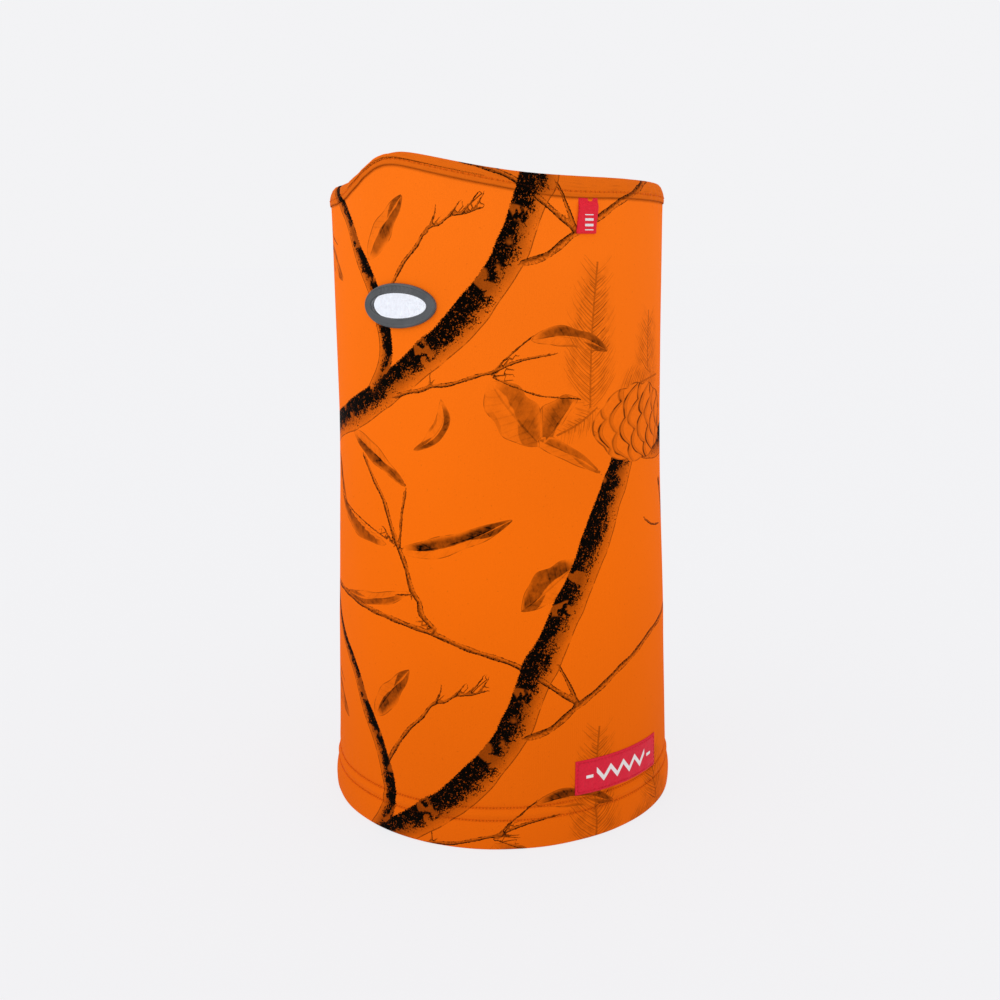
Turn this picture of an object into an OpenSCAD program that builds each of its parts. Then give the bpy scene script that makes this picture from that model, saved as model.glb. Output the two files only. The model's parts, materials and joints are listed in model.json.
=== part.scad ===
// Neck tube with a breathing ring: a sewn fabric tube for neck, mouth and nose.
// Millimetres. +Z up, the nose peak and the ring face -Y, +X is the wearer's left.
// The origin is the centre of the hem circle, on the surface the tube stands on.

/* [Tube] */
// Outer radius of the straight upper tube
tube_r = 76; // [68:0.5:84]
// Outer radius just above the hem
hem_r = 82; // [74:0.5:90]
// Height where the tube starts to widen downwards
flare_z = 175; // [120:5:210]
// Height of the seam under the binding, away from the nose
seam_z = 279.5; // [262:0.5:290]
// Thickness of the brushed knit
fabric_t = 1.4; // [1.0:0.1:2.0]

/* [Top edge] */
// Height of the binding, away from the nose
binding_h = 8.3; // [7:0.1:10]
// Thickness of one leg of the binding
binding_t = 1.1; // [0.9:0.1:1.4]
// Rise of the seam at the nose
seam_peak = 14.6; // [8:0.2:18]
// Rise of the top edge at the nose
edge_peak = 11.4; // [6:0.2:15]

/* [Hem] */
// Height of the turned-up hem
hem_h = 20.5; // [18:0.5:24]
// How far the hem puffs out past the tube
hem_puff = 1.8; // [0.6:0.1:2.4]
// Height of the upper needle row
row_upper_z = 19; // [17:0.5:22]
// Height of the lower needle row
row_lower_z = 13.4; // [11:0.2:15]

/* [Breathing ring] */
// Half width of the ring
ring_a = 18.7; // [15:0.1:22]
// Half height of the ring
ring_b = 9.3; // [7:0.1:11]
// Width of the ring's frame
ring_frame = 4.1; // [3:0.1:5]
// Height of the ring's centre
ring_z = 237; // [215:1:250]
// How far the ring stands out of the fabric
ring_proud = 1.5; // [1.2:0.1:3]

/* [Labels] */
// Angle of the flag label from the centre front
flag_at = 62.6; // [45:0.2:80]
// Width of the flag label
flag_w = 9.3; // [7:0.1:14]
// Length of the flag label below the seam
flag_l = 14; // [10:0.5:20]
// Sideways lean of the flag label's lower end
flag_lean = 1.1; // [0:0.1:2]
// Angle of the hem label from the centre front
hem_label_at = 76; // [60:0.2:100]
// Width of the hem label
hem_label_w = 53.2; // [40:0.2:60]
// Height of the hem label
hem_label_h = 14.8; // [12:0.2:20]
// Height of the hem label's centre
hem_label_z = 28.3; // [28:0.1:34]
// Tilt of the hem label
hem_label_tilt = 1.6; // [0:0.1:2]
// Width of the care label
care_w = 22; // [16:1:26]
// Length of the care label
care_l = 36; // [24:1:50]

/* [Hidden] */
$fn = 128;

fit = 0.05;        // gap between sewn layers
clear = 0.3;       // gap round a part that moves
fold_gap = 0.7;    // gap between the care label and its sewn end, which it folds up against
thread_t = 0.4;    // thickness of a thread or a band of threads
label_t = 0.5;     // thickness of the hem label
loop_t = 0.9;      // thickness of the folded flag label
satin_t = 0.3;     // thickness of the care label
reach = 120;       // half size of the cutting prisms, past the tube all round
edge_z = seam_z + binding_h;
seam_sag = 1.5;    // depth of the seam's sag
edge_sag = 1;      // depth of the top edge's sag
pocket_top = 1.3;  // fabric over the raw edge inside the binding
flag_hinge_z = seam_z - 2;
care_hinge_z = seam_z - 3.2;
flag_r = tube_r + clear + loop_t / 2;
inner_r = tube_r - fabric_t;
leg_r = inner_r - fit - binding_t;
care_y = sqrt(pow(inner_r, 2) - pow(care_w / 2, 2)) - clear - satin_t / 2;
hole_a = ring_a - 2.4;            // half width of the hole cut in the fabric
hole_b = ring_b - 2.1;            // half height of the hole cut in the fabric
open_a = ring_a - ring_frame;     // half width of the opening to breathe through
open_b = ring_b - ring_frame + 0.1;
back_lip = 0.7;    // how much smaller the back ring is than the front ring
back_t = 1;        // thickness of the back ring
back_open = 1;     // how much wider the back ring is open than the front ring
row_half = 0.25;   // half height of the needle row on the binding
row_rise = 2.45;   // height of the needle row above the seam
looper_half = 1.1; // half height of the band of looper thread
seam_half = 2.6;   // half width of the flatlock seam at the back
tack_h = 3.6;      // height of the bar tack
slot_h = 5.2;      // height of the pocket in the binding for the flag label's tail
slot_t = 1.6;      // depth of that pocket
edge_in = 0.7;     // distance of the hem label's stitching from its edge

// Outer radius of the tube at each height, from the fold of the hem up
STATIONS = [
    [0, hem_r + hem_puff - 0.4],
    [2, hem_r + hem_puff - 0.1],
    [6, hem_r + hem_puff],
    [9.5, hem_r + hem_puff - 0.3],
    [row_lower_z - 1.2, hem_r + 0.9],
    [row_lower_z, hem_r + 0.2],
    [16.2, hem_r + 0.5],
    [row_upper_z, hem_r - 0.4],
    [hem_h + 1, hem_r - 0.3],
    [flare_z / 2, (hem_r + tube_r) / 2 + 0.6],
    [flare_z - 20, tube_r + 0.7],
    [flare_z + 12, tube_r],
    [330, tube_r]
];
function tube_at(z) = lookup(z, STATIONS);

// Height of the top edge and of the seam: a peak that falls fast to the wearer's
// right of the nose, at negative angles, and slowly to the left
function fall(d) = d < 0 ? exp(-pow(-d / 17.5, 2.3)) : exp(-pow(d / 33, 1.35));
// Slight sag of either line towards the flag label, deepest at the angle mid
function sag(a, mid, wide) = exp(-pow((a - mid) / wide, 2));
function seam_at(a) = seam_z + seam_peak * fall(a + 1.6) - seam_sag * sag(a, 54, 17);
function edge_at(a) = edge_z + edge_peak * fall(a - 0.9) - edge_sag * sag(a, 43, 26);

module wall(out, in, low = 0, high = 330) {
    zs = concat([low], [for (s = STATIONS) if (s[0] > low && s[0] < high) s[0]], [high]);
    outer = [for (z = zs) [tube_at(z) + out, z]];
    inner = [for (i = [len(zs) - 1:-1:0]) [tube_at(zs[i]) + in, zs[i]]];
    rotate_extrude() polygon(concat(outer, inner));
}

// Everything below the top edge (seam = 0) or the seam (seam = 1), moved up by rise
module below(rise, seam = 0) {
    for (back = [0, 1]) {
        line = [for (a = [-90:5:90]) let (t = back == 0 ? a : a < 0 ? -180 - a : 180 - a)
            [(tube_r + 1) * sin(a), rise + (seam == 1 ? seam_at(t) : edge_at(t))]];
        ends = [[reach, line[len(line) - 1][1]], [reach, -9], [-reach, -9], [-reach, line[0][1]]];
        translate([0, back * reach, 0]) rotate([90, 0, 0]) linear_extrude(reach)
            polygon(concat(line, ends));
    }
}

function oval(a, b) = [for (i = [0:5:355]) [a * cos(i), b * sin(i)]];

// Straight prism out through the front of the tube, with an oval section
module oval_prism(a, b) {
    translate([0, -40, ring_z]) rotate([90, 0, 0]) linear_extrude(60) polygon(oval(a, b));
}

module ring_half(low_r, high_r, a, b) {
    intersection() {
        rotate_extrude() translate([low_r, ring_z - 15]) square([high_r - low_r, 30]);
        oval_prism(a, b);
    }
}

// Flat piece that faces the direction at angle a, centred on it at radius r
module facing(a, r, z) {
    rotate([0, 0, a]) translate([0, -r, z]) rotate([90, 0, 0]) children();
}

module tube_shell() {
    color([1.0, 0.44, 0.08]) difference() {
        intersection() {
            wall(0, -fabric_t);
            below(-pocket_top);
        }
        oval_prism(hole_a, hole_b);
    }
}

module hem_turn_up() {
    color([1.0, 0.44, 0.08]) wall(-fabric_t - fit, -2 * fabric_t - fit, 0, hem_h);
}

module top_binding() {
    color([0.87, 0.38, 0.05]) difference() {
        intersection() {
            rotate_extrude() translate([leg_r, seam_z - 5])
                square([tube_r + fit + binding_t - leg_r, 40]);
            below(0);
        }
        below(0, 1);
        intersection() {
            rotate_extrude() translate([inner_r - fit, seam_z - 6])
                square([fabric_t + 2 * fit, 40]);
            below(fit - pocket_top);
        }
        facing(flag_at, tube_r - 1, seam_z + 2) translate([0, 0, 0.9])
            cube([flag_w + 2 * clear, slot_h, slot_t], center = true);
    }
}

module breathing_ring_front() {
    color([0.34, 0.35, 0.37]) difference() {
        union() {
            ring_half(tube_r + fit, tube_r + ring_proud, ring_a, ring_b);
            ring_half(inner_r, tube_r + 2 * fit, hole_a - fit, hole_b - fit);
        }
        oval_prism(open_a, open_b);
    }
}

module breathing_ring_back() {
    color([0.3, 0.31, 0.33]) difference() {
        ring_half(inner_r - back_t, inner_r - fit, ring_a - back_lip, ring_b - back_lip);
        oval_prism(open_a + back_open, open_b + back_open);
    }
}

module flag_label() {
    drop = flag_l - (seam_z - flag_hinge_z);
    color([0.92, 0.18, 0.23]) facing(flag_at, flag_r, flag_hinge_z) {
        translate([0, 0, -loop_t / 2]) linear_extrude(loop_t) polygon([
            [-flag_w / 2, 0], [-flag_w / 2 - flag_lean, -drop],
            [flag_w / 2 - flag_lean, -drop], [flag_w / 2, 0]
        ]);
        rotate([0, 90, 0]) cylinder(h = flag_w, d = loop_t, center = true);
    }
}

module flag_label_tail() {
    foot = flag_hinge_z + loop_t / 2 + clear;
    color([0.86, 0.16, 0.21]) facing(flag_at, tube_r + fit, foot)
        translate([-flag_w / 2, 0, 0]) cube([flag_w, seam_z + tack_h + 0.4 - foot, label_t]);
}

module hem_label_band(low, high, w, h) {
    intersection() {
        wall(high, low, hem_h, 50);
        facing(hem_label_at, 40, hem_label_z) rotate([0, 0, -hem_label_tilt])
            translate([-w / 2, -h / 2, 0]) cube([w, h, 60]);
    }
}

module hem_label() {
    color([0.83, 0.12, 0.2]) hem_label_band(fit, fit + label_t, hem_label_w, hem_label_h);
}

module hem_label_stitch() {
    low = 2 * fit + label_t;
    color([0.7, 0.1, 0.17]) difference() {
        hem_label_band(low, low + 0.2, hem_label_w - 2 * edge_in, hem_label_h - 2 * edge_in);
        hem_label_band(low - 1, low + 1, hem_label_w - 2 * edge_in - 1, hem_label_h - 2 * edge_in - 1);
    }
}

module hem_row(z) {
    color([0.78, 0.33, 0.04]) rotate_extrude()
        translate([tube_at(z) + thread_t / 2 + fit, z]) circle(d = thread_t);
}

module hem_stitch_upper() {
    hem_row(row_upper_z);
}

module hem_stitch_lower() {
    hem_row(row_lower_z);
}

module hem_looper_thread() {
    in = -2 * fabric_t - 2 * fit;
    color([0.95, 0.6, 0.3]) wall(in, in - thread_t, row_lower_z - 0.4, row_upper_z + 0.4);
}

// Band of thread that follows the seam, between two heights above it
module seam_thread(low_r, low, high) {
    difference() {
        intersection() {
            rotate_extrude() translate([low_r, seam_z - 5]) square([thread_t, 40]);
            below(high, 1);
        }
        below(low, 1);
    }
}

module binding_stitch() {
    color([0.72, 0.3, 0.03])
        seam_thread(tube_r + 2 * fit + binding_t, row_rise - row_half, row_rise + row_half);
}

module binding_looper_thread() {
    color([0.95, 0.6, 0.3])
        seam_thread(leg_r - fit - thread_t, row_rise - looper_half, row_rise + looper_half);
}

module binding_back_tack() {
    color([0.72, 0.3, 0.03])
        translate([-seam_half, tube_r + 2 * fit + binding_t, seam_z + tack_h])
        cube([2 * seam_half, thread_t, tack_h]);
}

module back_seam(low, high, half_w, foot, top) {
    intersection() {
        wall(high, low, foot, top);
        translate([-half_w, 0, 0]) cube([2 * half_w, reach, 330]);
    }
}

module back_seam_outer() {
    color([0.78, 0.33, 0.04]) back_seam(fit, fit + thread_t, seam_half, hem_h + 1, seam_z - 0.5);
}

module back_seam_inner() {
    color([0.95, 0.6, 0.3])
        back_seam(-fabric_t - fit - thread_t, -fabric_t - fit, seam_half, hem_h + 1, seam_z - 0.5);
}

module care_label() {
    color([0.96, 0.96, 0.95]) translate([0, care_y, care_hinge_z]) {
        translate([-care_w / 2, -satin_t / 2, -care_l]) cube([care_w, satin_t, care_l]);
        rotate([0, 90, 0]) cylinder(h = care_w, d = satin_t, center = true);
    }
}

module care_label_tail() {
    foot = care_hinge_z + satin_t / 2 + fold_gap;
    color([0.93, 0.93, 0.92]) translate([-care_w / 2, care_y - satin_t / 2, foot])
        cube([care_w, satin_t, seam_z - clear - foot]);
}

tube_shell();
hem_turn_up();
top_binding();
breathing_ring_front();
breathing_ring_back();
flag_label();
flag_label_tail();
hem_label();
hem_label_stitch();
hem_stitch_upper();
hem_stitch_lower();
hem_looper_thread();
binding_stitch();
binding_looper_thread();
binding_back_tack();
back_seam_outer();
back_seam_inner();
care_label();
care_label_tail();
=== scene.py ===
"""Neck tube with a breathing ring: the looks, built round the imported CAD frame."""
import json
import math

import bmesh
import bpy
import numpy as np
from mathutils import Matrix, Vector
from mathutils.bvhtree import BVHTree


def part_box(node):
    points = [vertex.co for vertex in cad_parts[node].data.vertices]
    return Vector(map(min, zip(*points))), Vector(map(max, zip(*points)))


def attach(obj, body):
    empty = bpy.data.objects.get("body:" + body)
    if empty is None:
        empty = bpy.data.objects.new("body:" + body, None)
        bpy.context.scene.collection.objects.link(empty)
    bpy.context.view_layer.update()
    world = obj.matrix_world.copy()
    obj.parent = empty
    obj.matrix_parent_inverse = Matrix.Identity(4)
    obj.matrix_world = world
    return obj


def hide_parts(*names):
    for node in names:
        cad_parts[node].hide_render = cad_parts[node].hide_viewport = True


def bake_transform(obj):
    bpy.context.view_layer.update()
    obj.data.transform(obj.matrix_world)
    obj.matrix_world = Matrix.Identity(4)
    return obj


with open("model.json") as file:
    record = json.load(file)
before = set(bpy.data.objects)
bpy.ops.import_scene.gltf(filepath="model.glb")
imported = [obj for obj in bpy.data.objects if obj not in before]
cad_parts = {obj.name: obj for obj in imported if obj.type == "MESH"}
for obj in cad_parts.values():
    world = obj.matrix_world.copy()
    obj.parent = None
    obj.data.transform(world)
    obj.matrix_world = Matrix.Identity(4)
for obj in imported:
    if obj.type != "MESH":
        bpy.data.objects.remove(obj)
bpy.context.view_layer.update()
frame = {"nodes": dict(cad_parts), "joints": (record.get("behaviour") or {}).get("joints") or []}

MM = 0.001
TURN = 2 * math.pi

# ---------------------------------------------------------------- camera, light and floor

CAMERA_AZIMUTH = math.radians(33.6)
CAMERA_DISTANCE = 0.549
CAMERA_HEIGHT = 0.2553
CAMERA_PITCH = math.radians(11.8)
CAMERA_ROLL = math.radians(-0.54)
CAMERA_LENS = 41.364
FLOOR_GLOW = 0.79
PAPER = 0.895  # brightness of the floor and of the world, so that they meet without a line


def add_camera():
    """A camera a little above the nose's height, looking down at the wearer's left front."""
    data = bpy.data.cameras.new("camera")
    data.lens = CAMERA_LENS
    data.sensor_width = 36
    data.clip_start = 0.01
    camera = bpy.data.objects.new("camera", data)
    bpy.context.scene.collection.objects.link(camera)
    turn = Matrix.Rotation(CAMERA_AZIMUTH, 4, "Z")
    tilt = Matrix.Rotation(math.pi / 2 - CAMERA_PITCH, 4, "X")
    roll = Matrix.Rotation(CAMERA_ROLL, 4, "Z")
    x = CAMERA_DISTANCE * math.sin(CAMERA_AZIMUTH)
    y = -CAMERA_DISTANCE * math.cos(CAMERA_AZIMUTH)
    place = Matrix.Translation((x, y, CAMERA_HEIGHT))
    camera.matrix_world = place @ turn @ tilt @ roll
    bpy.context.scene.camera = camera


def add_sun(name, azimuth, elevation, strength, softness):
    """A soft distant light from that azimuth, 0 being in front of the nose."""
    data = bpy.data.lights.new(name, "SUN")
    data.energy = strength
    data.angle = math.radians(softness)
    light = bpy.data.objects.new(name, data)
    bpy.context.scene.collection.objects.link(light)
    a, e = math.radians(azimuth), math.radians(elevation)
    back = Vector((math.sin(a) * math.cos(e), -math.cos(a) * math.cos(e), math.sin(e)))
    light.rotation_euler = back.to_track_quat("Z", "Y").to_euler()


def add_world():
    """An even pale surround, nearly white."""
    world = bpy.data.worlds.new("studio")
    world.use_nodes = True
    sky = world.node_tree.nodes["Background"]
    sky.inputs["Color"].default_value = (PAPER, PAPER, PAPER * 1.018, 1)
    sky.inputs["Strength"].default_value = 1.0
    bpy.context.scene.world = world
    bpy.context.scene.view_settings.view_transform = "Standard"


def add_glow():
    """A weak lamp in the middle of the tube, for the daylight that comes through the thin knit."""
    data = bpy.data.lights.new("glow", "POINT")
    data.energy = 0.074
    data.shadow_soft_size = 0.03
    light = bpy.data.objects.new("glow", data)
    light.location = (0, 0, 0.19)
    light.visible_camera = False
    bpy.context.scene.collection.objects.link(light)


add_camera()
add_world()
add_glow()
add_sun("key", -30, 32, 0.54, 60)
add_sun("fill", 88, 25, 0.25, 80)

# ---------------------------------------------------------------- what the CAD frame says


def tree_of(node):
    """A CAD node's faces, for casting rays at them."""
    mesh = frame["nodes"][node].data
    corners = [v.co for v in mesh.vertices]
    return BVHTree.FromPolygons(corners, [p.vertices[:] for p in mesh.polygons])


def mid(node):
    """The middle of a CAD node's box."""
    low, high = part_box(node)
    return (low + high) / 2


def pivot_of(name):
    """A joint's pivot."""
    return Vector(next(j for j in frame["joints"] if j["name"] == name)["pos_m"])


def read_profile():
    """Heights and the tube's outer radius at each, cast where nothing is sewn on."""
    tree = tree_of("tube_shell")
    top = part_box("tube_shell")[1].z
    heights = np.linspace(0.0004, top - 0.02, 160)
    casts = [tree.ray_cast(Vector((-0.12, 0.0, z)), Vector((1, 0, 0)))[0] for z in heights]
    return heights, np.array([-hit.x for hit in casts])


def read_rim():
    """Angles from the centre front, and the heights of the seam and of the top edge there."""
    tree = tree_of("top_binding")
    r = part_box("top_binding")[1].x - 0.1 * MM
    angles = np.linspace(-math.pi, math.pi, 361)
    seam, edge = [], []
    for a in angles:
        x, y = r * math.sin(a), -r * math.cos(a)
        seam.append(tree.ray_cast(Vector((x, y, 0.2)), Vector((0, 0, 1)))[0].z)
        edge.append(tree.ray_cast(Vector((x, y, 0.4)), Vector((0, 0, -1)))[0].z)
    soften = np.hanning(11) / np.hanning(11).sum()
    pad = 20
    out = []
    for line in (seam, edge):
        ring = np.array(line[:-1])
        ring = np.concatenate([ring[-pad:], ring, ring[:pad]])
        ring = np.convolve(ring, soften, "same")[pad:-pad]
        out.append(np.append(ring, ring[0]))
    return angles, *out


HEIGHTS, RADII = read_profile()
ANGLES, SEAM, EDGE = read_rim()
SEAM_LOW = SEAM.min()
TUBE_R = float(np.interp(0.23, HEIGHTS, RADII))
ROW_UP = mid("hem_stitch_upper").z
ROW_LOW = mid("hem_stitch_lower").z
HEM_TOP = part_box("hem_turn_up")[1].z
FABRIC = 1.4 * MM
STITCHES = 340  # in each needle row round the hem


def seam_at(a):
    """Height of the seam under the binding at angle a."""
    return np.interp((a + math.pi) % TURN - math.pi, ANGLES, SEAM)


def edge_at(a):
    """Height of the top edge at angle a."""
    return np.interp((a + math.pi) % TURN - math.pi, ANGLES, EDGE)


def dimples(a, z):
    """How the two needle rows pull the hem in, with a pucker at every stitch."""
    pull = np.zeros(np.broadcast(a, z).shape)
    for row in (ROW_LOW, ROW_UP):
        groove = np.exp(-(((z - row) / (0.9 * MM)) ** 2))
        pull -= groove * (0.26 + 0.14 * np.cos(STITCHES * a)) * MM
    between = np.exp(-(((z - (ROW_LOW + ROW_UP) / 2) / (1.6 * MM)) ** 2))
    return pull + between * 0.22 * MM


def ripple(a, z):
    """The soft unevenness of knit: slow waves round the tube, and small gathers at both ends."""
    slow = 0.22 * np.sin(3 * a + 1.2 + 9 * z) + 0.16 * np.sin(5 * a - 0.6 - 14 * z)
    small = 0.1 * np.sin(17 * a + 22 * np.sin(3 * z)) * np.sin(21 * z + 2 * a)
    under = np.exp(-np.clip(seam_at(a) - z, 0, 1) / (7 * MM))
    gather = 0.13 * np.sin(61 * a + 3 * np.sin(7 * a)) * under
    over = np.exp(-(((z - HEM_TOP - 3 * MM) / (5 * MM)) ** 2))
    pucker = 0.1 * np.sin(83 * a + 2 * np.sin(11 * a)) * over
    return (slow + small + gather + pucker) * MM


def skin(a, z, out=0.0, smooth=False):
    """Points on the tube's outer face at angle a and height z, out metres off it."""
    r = np.interp(z, HEIGHTS, RADII) + out + ripple(a, z)
    if not smooth:
        r = r + dimples(a, z)
    return np.stack([r * np.sin(a), -r * np.cos(a), z + 0 * a], axis=-1)


# ---------------------------------------------------------------- meshes


def new_piece(name, points, faces, materials, smooth=True):
    """A Blender object from points in metres and faces."""
    mesh = bpy.data.meshes.new(name)
    mesh.from_pydata(np.asarray(points, float).reshape(-1, 3).tolist(), [], faces)
    mesh.update()
    for material in materials:
        mesh.materials.append(material)
    if smooth:
        mesh.shade_smooth()
    piece = bpy.data.objects.new(name, mesh)
    bpy.context.scene.collection.objects.link(piece)
    return piece


def sew_on(piece, node, slot):
    """Rides a piece on the tube, in place of a CAD node. slot is not used."""
    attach(piece, "tube")
    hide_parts(node)


def face_outwards(piece):
    """Turns every face of a closed piece to the outside."""
    work = bmesh.new()
    work.from_mesh(piece.data)
    bmesh.ops.recalc_face_normals(work, faces=work.faces)
    work.to_mesh(piece.data)
    work.free()


def crease(piece, degrees):
    """Keeps edges sharp where the faces meet at more than that angle."""
    piece.data.set_sharp_from_angle(angle=math.radians(degrees))


def zip_rings(lower, upper):
    """Faces between two closed rings of vertices that start at the same angle, of any counts."""
    n, m = len(lower), len(upper)
    if n == m:
        return [(lower[i], lower[(i + 1) % n], upper[(i + 1) % n], upper[i]) for i in range(n)]
    faces = []
    i = j = 0
    while i < n or j < m:
        if j == m or (i < n and (i + 1) / n <= (j + 1) / m + 1e-9):
            faces.append((lower[i % n], lower[(i + 1) % n], upper[j % m]))
            i += 1
        else:
            faces.append((lower[i % n], upper[(j + 1) % m], upper[j % m]))
            j += 1
    return faces


def lathe(rings, closed=True):
    """Points and faces of a skin over rings of points. Where closed, the last ring meets the first."""
    points = np.concatenate(rings)
    starts = np.cumsum([0] + [len(ring) for ring in rings])
    loops = [list(range(a, b)) for a, b in zip(starts, starts[1:])]
    pairs = list(zip(loops, loops[1:]))
    if closed:
        pairs.append((loops[-1], loops[0]))
    return points, [face for low, high in pairs for face in zip_rings(low, high)]


def around(columns):
    """That many angles round the tube, from the centre back."""
    return -math.pi + TURN * np.arange(columns) / columns


def slab(front, back):
    """Points and faces of a thin closed piece between two grids of the same size."""
    n, m = front.shape[:2]
    number = np.arange(n * m).reshape(n, m)
    faces = []
    for side in (0, n * m):
        for i in range(n - 1):
            for j in range(m - 1):
                at = [number[i, j], number[i, j + 1], number[i + 1, j + 1], number[i + 1, j]]
                faces.append([int(k) + side for k in (at if side == 0 else at[::-1])])
    rim = [*number[0, :-1], *number[:-1, -1], *number[-1, :0:-1], *number[:0:-1, 0]]
    rim = [int(k) for k in rim]
    for a, b in zip(rim, rim[1:] + rim[:1]):
        faces.append([b, a, a + n * m, b + n * m])
    return np.concatenate([front.reshape(-1, 3), back.reshape(-1, 3)]), faces


def threads(name, paths, radius, material, sides=6, closed=False):
    """One piece of many round threads, each along its own path of points."""
    paths = np.asarray(paths, float)
    n, k = paths.shape[:2]
    if closed:
        way = np.roll(paths, -1, axis=1) - np.roll(paths, 1, axis=1)
    else:
        way = np.gradient(paths, axis=1)
    way /= np.linalg.norm(way, axis=-1, keepdims=True)
    out = paths * (1, 1, 0)
    out /= np.linalg.norm(out, axis=-1, keepdims=True)
    side = np.cross(way, out)
    side /= np.linalg.norm(side, axis=-1, keepdims=True)
    up = np.cross(side, way)
    taper = np.ones(k)
    if not closed:
        taper[[0, -1]] = 0.35
    angle = TURN * np.arange(sides) / sides
    disc = np.cos(angle)[:, None] * up[:, :, None] + np.sin(angle)[:, None] * side[:, :, None]
    points = paths[:, :, None] + radius * taper[:, None, None] * disc
    faces = []
    for i in range(n):
        base = i * k * sides
        for j in range(k if closed else k - 1):
            a, b = base + j * sides, base + (j + 1) % k * sides
            for s in range(sides):
                t = (s + 1) % sides
                faces.append((a + s, a + t, b + t, b + s))
        if not closed:
            faces.append(tuple(range(base + sides - 1, base - 1, -1)))
            last = base + (k - 1) * sides
            faces.append(tuple(range(last, last + sides)))
    piece = new_piece(name, points, faces, [material])
    face_outwards(piece)
    return piece


# ---------------------------------------------------------------- the print, in millimetres of cloth
# Woodland motifs drawn by formulas: across is the arc from the centre front, up is the height.

TILE_W = TUBE_R / MM * math.pi  # two repeats go round the tube
TILE_H = 203.0

BRANCHES = [  # points from the thick end, half widths at both ends
    ([(105, 172), (101, 163), (95, 152), (90, 141), (85, 130), (79, 118), (72, 105), (66, 92),
      (60, 81), (56, 71), (52, 60), (47, 50), (40, 40), (31, 29), (22, 20), (14, 14), (4, 6), (-5, 0),
      (-18, -8), (-34, -15), (-50, -20), (-79, -28), (-104, -31), (-127, -26)], 7.2, 6.2),
    ([(-16, -4), (-10, 5), (-7, 14), (-8, 25), (-13, 39), (-18, 48), (-24, 57), (-30, 68), (-37, 76),
      (-46, 84), (-58, 96), (-70, 112), (-84, 131), (-96, 154)], 4.0, 1.5),
]
TWIGS = [
    ([(-11, 27), (-6, 37), (-1, 45), (4, 52), (10, 58), (15, 65), (21, 67), (25, 70), (32, 71),
      (38, 73)], 1.15, 0.4),
    ([(-2, 199), (4, 201), (10, 202), (16, 204), (24, 205), (37, 209), (43, 210)], 0.95, 0.7),
    ([(42, 210), (47, 215), (54, 221), (58, 224)], 0.45, 0.3),
    ([(42, 210), (51, 214), (60, 216), (68, 217)], 0.75, 0.4),
    ([(42, 208), (51, 204), (62, 200), (79, 198)], 0.4, 0.3),
    ([(-57, 106), (-40, 105), (-16, 102), (-1, 100), (15, 97), (29, 92), (47, 86), (57, 80), (67, 72),
      (77, 64)], 1.15, 1.1),
    ([(150, 92), (124, 86), (108, 79), (99, 75), (87, 68), (76, 62), (65, 54), (55, 51)], 1.1, 1.5),
    ([(-23, 171), (-16, 161), (-10, 153), (-6, 143), (-2, 134), (2, 126), (5, 116), (9, 110), (10, 105),
      (16, 99)], 0.9, 1.3),
    ([(-1, 133), (0, 147), (2, 158)], 0.5, 0.7),
    ([(-5, 135), (-25, 142), (-48, 149)], 0.35, 0.25),
    ([(77, 65), (73, 74), (69, 82)], 0.9, 0.6),
    ([(15, 64), (18, 69), (19, 73)], 0.55, 0.25),
    ([(24, 69), (29, 75)], 0.5, 0.25),
    ([(30, 71), (34, 75), (37, 79)], 0.5, 0.25),
    ([(35, 72), (39, 78)], 0.45, 0.25),
    ([(15, 204), (15, 208)], 0.5, 0.35),
    ([(42, 210), (50, 209)], 0.35, 0.25),
    ([(5, 113), (-2, 112)], 0.5, 0.3),
    ([(-6, 136), (-10, 141)], 0.4, 0.25),
    ([(121, 140), (129, 136), (140, 134)], 0.5, 0.4),
    ([(166, 78), (178, 66), (192, 60)], 0.7, 0.35),
]
SHOOTS = [(5, 4, 3.0), (6, 4, 3.0), (1, 2, 3.0), (7, 3, 3.0)]  # twig, count, length
LEAVES = [  # base, tip, half width left and right of the way, bend, darkness (below 0: on the right)
    ((-16, 53), (4, 79), 5.0, 5.5, 0.5, -0.6),
    ((58, 223), (95, 217), 4.8, 4.0, 3.0, 0.62),
    ((41, 206), (62, 179), 11.0, 9.5, -1.0, 0.4),
    ((79, 198), (64, 179), 1.5, 9.5, -1.0, -0.52),
    ((50, 186), (92, 164), 3.2, 3.2, 1.5, 0.36),
    ((20, 199), (6, 176), 3.0, 3.4, 5.5, 0.62),
    ((-33, 182), (3, 160), 3.6, 4.2, 1.5, -0.62),
    ((-1, 132), (50, 148), 4.6, 4.6, -2.5, 0.7),
    ((4, 114), (-40, 106), 3.2, 3.4, 2.5, 0.5),
    ((78, 128), (53, 108), 5.5, 9.0, 0.5, -0.6),
    ((-8, 134), (-52, 152), 6.0, 0.8, 1.0, 0.55),
    ((158, 138), (182, 130), 3.5, 3.5, 2.0, 0.66),
    ((172, 60), (200, 44), 3.0, 6.0, 2.0, 0.5),
    ((176, 170), (196, 148), 5.0, 4.0, -2.0, 0.6),
]
SPRIGS = [  # foot, tip, half width
    ((85, 190), (88, 254), 15.0),
    ((126, 198), (125, 233), 14.0),
    ((90, 195), (69, 183), 9.0),
    ((98, 198), (138, 204), 12.0),
]
CONE_AT, CONE_LONG, CONE_WIDE, CONE_TURN = (116, 185), 29.0, 17.0, 0.0


def spline(points, step=1.5):
    """A smooth curve through the points, as points about step apart."""
    p = np.array(points, float)
    p = np.vstack([2 * p[0] - p[1], p, 2 * p[-1] - p[-2]])
    out = []
    for a, b, c, d in zip(p, p[1:], p[2:], p[3:]):
        n = max(2, int(np.linalg.norm(c - b) / step))
        t = np.arange(n)[:, None] / n
        cubic = (3 * b - a - 3 * c + d) * t**3
        out.append(0.5 * (2 * b + (c - a) * t + (2 * a - 5 * b + 4 * c - d) * t**2 + cubic))
    return np.vstack([*out, p[-2:-1]])


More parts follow.
